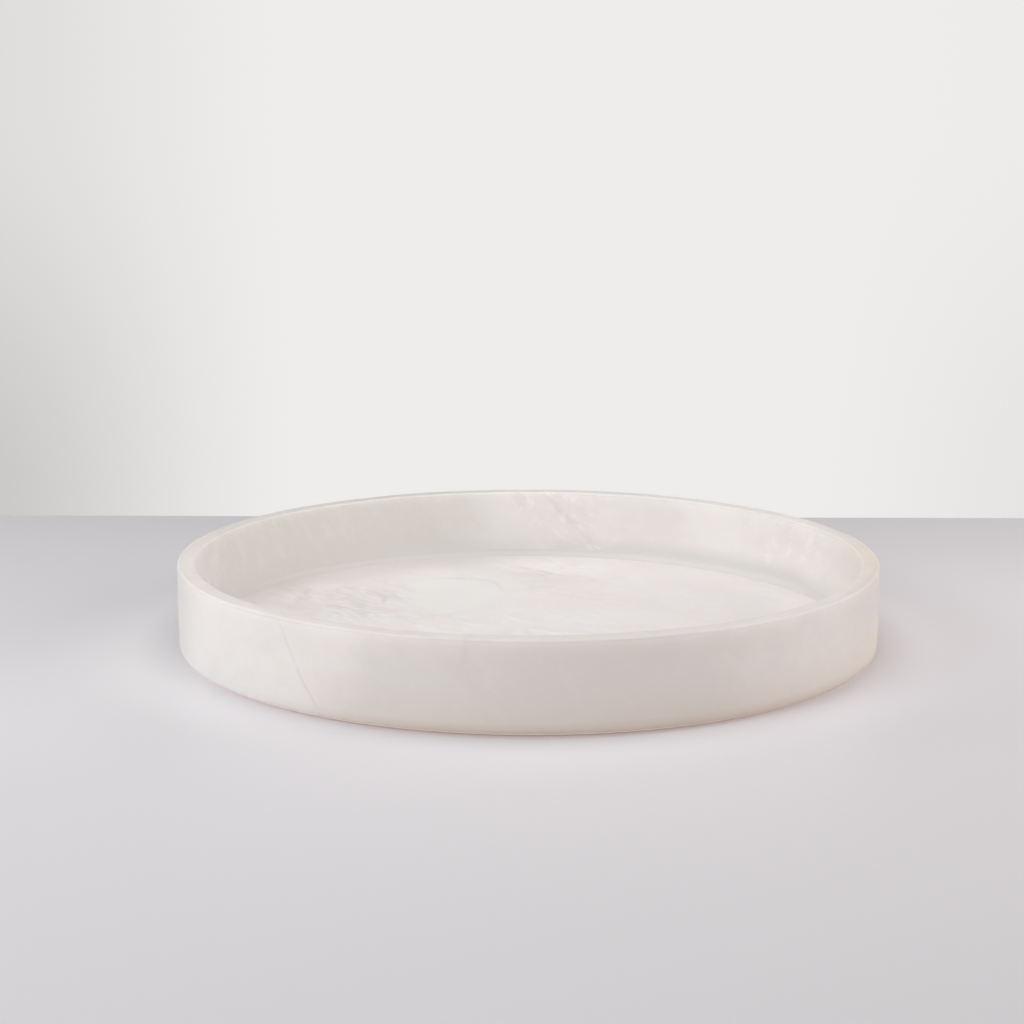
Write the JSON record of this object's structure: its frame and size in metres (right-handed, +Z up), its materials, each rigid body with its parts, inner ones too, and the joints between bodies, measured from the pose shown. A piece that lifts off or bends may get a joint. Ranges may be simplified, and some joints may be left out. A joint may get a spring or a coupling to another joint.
{
  "type": "dresser vanity tray",
  "caption": "Round, low alabaster tray with an upright wall, a flat rim and a flat floor, on small elastomer feet, for holding bottles and jewellery on a dresser.",
  "frame": {"origin": "on the table plane, on the tray's axis", "axes": "+Z up along the tray's axis; front of the tray towards -Y, as seen in the picture; +X to the right"},
  "size_m": [0.4064, 0.4064, 0.0508],
  "materials": {
    "wall_alabaster": "milky white translucent alabaster with faint cloudy figure and a few thin veins, fine satin polish",
    "floor_alabaster": "milky white translucent alabaster with pearly streaks, fine satin polish",
    "stone_adhesive": "stone-coloured translucent epoxy, rubbed down with the stone",
    "foot_elastomer": "thin clear to milky moulded polyurethane, satin",
    "foot_adhesive": "pressure-sensitive adhesive film"
  },
  "bodies": {
    "root": {"wall_ring": "wall_alabaster", "base_disc": "floor_alabaster", "bond_line": "stone_adhesive", "foot_back_right": "foot_elastomer", "foot_back_left": "foot_elastomer", "foot_front_left": "foot_elastomer", "foot_front_right": "foot_elastomer", "foot_adhesive_back_right": "foot_adhesive", "foot_adhesive_back_left": "foot_adhesive", "foot_adhesive_front_left": "foot_adhesive", "foot_adhesive_front_right": "foot_adhesive"}
  },
  "joints": []
}
